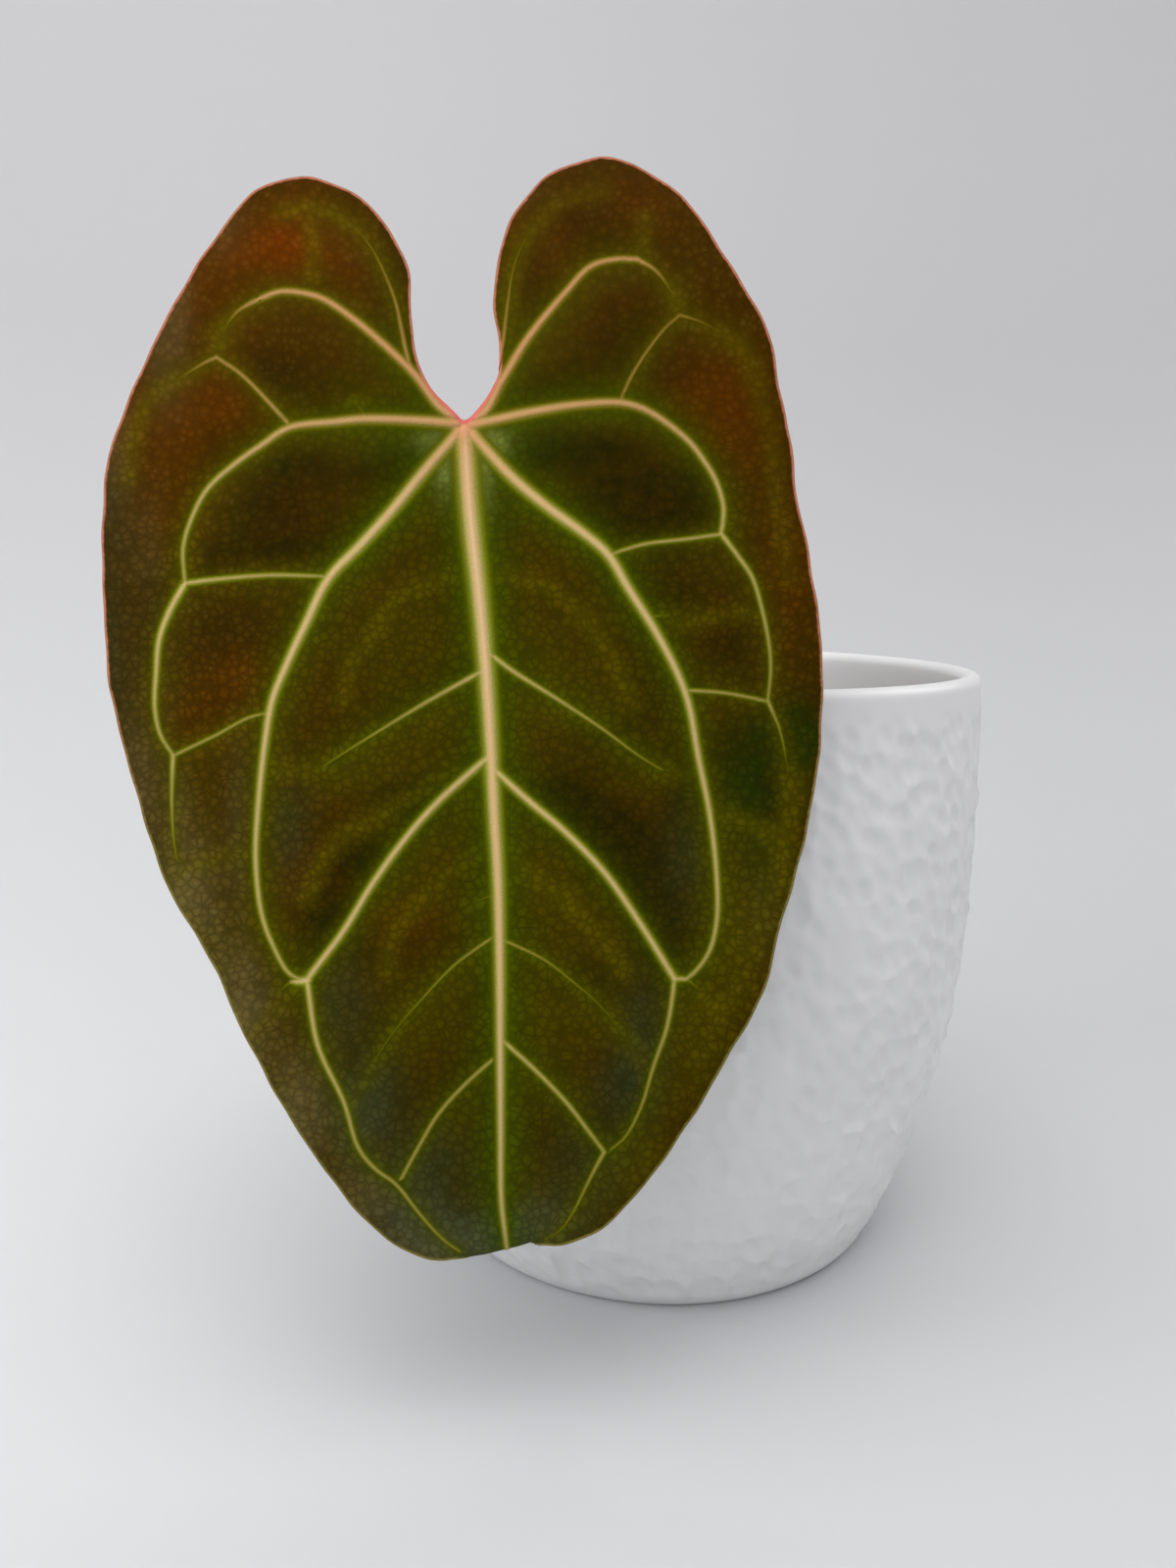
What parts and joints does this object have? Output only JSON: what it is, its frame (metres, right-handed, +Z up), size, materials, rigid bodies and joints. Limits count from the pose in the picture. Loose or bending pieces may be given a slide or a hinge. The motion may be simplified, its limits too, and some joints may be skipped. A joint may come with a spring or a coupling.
{
  "type": "potted anthurium besseae",
  "caption": "Velvety heart-shaped leaf with a pale raised vein net on an arching petiole, rooted in bark mix in a round white glazed pot with a hammered wall.",
  "frame": {"origin": "middle of the pot's flat underside, where it stands", "axes": "+Z up along the pot's axis; +X to the viewer's right and +Y away from a viewer who faces the blade"},
  "size_m": [0.1675, 0.1676, 0.2225],
  "materials": {
    "pot": "white satin glaze over a hammered wall",
    "potting_mix": "damp bark chips, rough",
    "stem": "fibrous stem with leaf scars and aerial roots",
    "petiole": "smooth green leaf stalk",
    "sheath": "dry papery bud sheath",
    "leaf": "velvety olive-bronze leaf with cream veins"
  },
  "bodies": {
    "root": {"pot": "pot", "potting_mix": "potting_mix", "stem": "stem", "petiole": "petiole", "sheath_1": "sheath", "sheath_2": "sheath", "leaf_blade": "leaf"}
  },
  "joints": []
}
